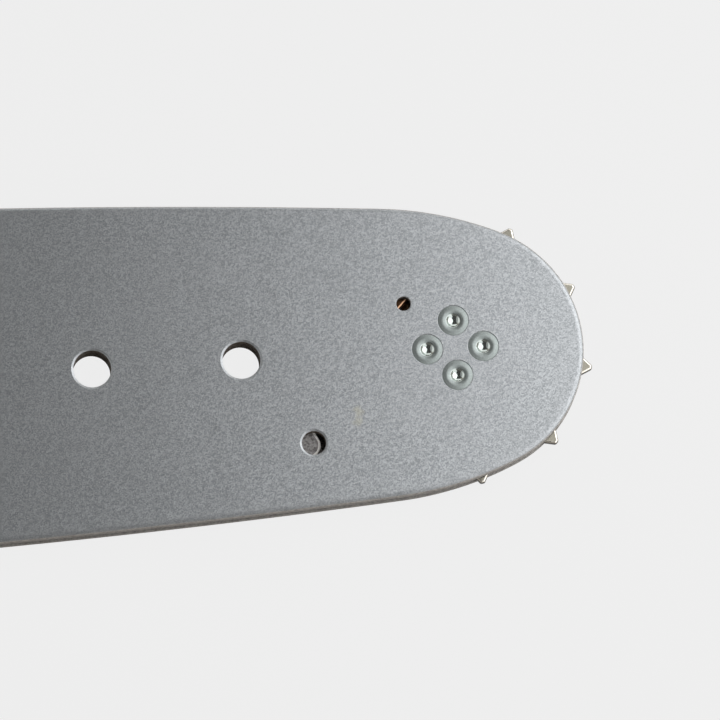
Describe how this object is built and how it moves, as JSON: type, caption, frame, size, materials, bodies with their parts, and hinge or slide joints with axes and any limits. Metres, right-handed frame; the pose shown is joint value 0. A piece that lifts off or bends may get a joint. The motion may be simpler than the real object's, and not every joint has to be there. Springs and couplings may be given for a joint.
{
  "type": "chainsaw guide bar",
  "caption": "Laminated chainsaw guide bar: a flat tapered steel blade with a chain groove round its edge, a toothed sprocket on needle rollers in the nose and a stud slot in the tail.",
  "frame": {"origin": "middle of the stud slot, on the bar's resting face", "axes": "+X along the bar to the nose, +Z out of the face with the grease hole on the +Y side"},
  "size_m": [0.3798, 0.0622, 0.0045],
  "materials": {
    "painted_plate": "silver-grey metallic paint with a fine sparkle, satin",
    "core_steel": "bare rolled steel, darkened by oil",
    "sprocket_steel": "tumbled bare steel, pale at the tooth tips, oily inside",
    "bearing_steel": "ground steel with a film of brown grease",
    "rivet_steel": "bright pressed steel heads with a polished dish"
  },
  "bodies": {
    "bar": {"side_plate_front": "painted_plate", "side_plate_back": "painted_plate", "core_plate": "core_steel", "bearing_race": "bearing_steel", "nose_rivets": "rivet_steel"},
    "sprocket": {"nose_sprocket": "sprocket_steel"},
    "roller_ring": {"needle_roller_01": "bearing_steel", "needle_roller_02": "bearing_steel", "needle_roller_03": "bearing_steel", "needle_roller_04": "bearing_steel", "needle_roller_05": "bearing_steel", "needle_roller_06": "bearing_steel", "needle_roller_07": "bearing_steel", "needle_roller_08": "bearing_steel", "needle_roller_09": "bearing_steel", "needle_roller_10": "bearing_steel", "needle_roller_11": "bearing_steel", "needle_roller_12": "bearing_steel", "needle_roller_13": "bearing_steel", "needle_roller_14": "bearing_steel", "needle_roller_15": "bearing_steel", "needle_roller_16": "bearing_steel", "needle_roller_17": "bearing_steel", "needle_roller_18": "bearing_steel", "needle_roller_19": "bearing_steel", "needle_roller_20": "bearing_steel", "needle_roller_21": "bearing_steel", "needle_roller_22": "bearing_steel", "needle_roller_23": "bearing_steel", "needle_roller_24": "bearing_steel", "needle_roller_25": "bearing_steel", "needle_roller_26": "bearing_steel", "needle_roller_27": "bearing_steel"}
  },
  "joints": [
    {"name": "sprocket_spin", "type": "hinge", "parent": "bar", "child": "sprocket", "pos_m": [0.312, 0, 0.00225], "axis": [0, 0, 1], "continuous": true},
    {"name": "roller_orbit", "type": "hinge", "parent": "bar", "child": "roller_ring", "pos_m": [0.312, 0, 0.00225], "axis": [0, 0, 1], "continuous": true}
  ],
  "couplings": [
    {"joint": "roller_orbit", "follows": "sprocket_spin", "ratio": 0.55814}
  ]
}
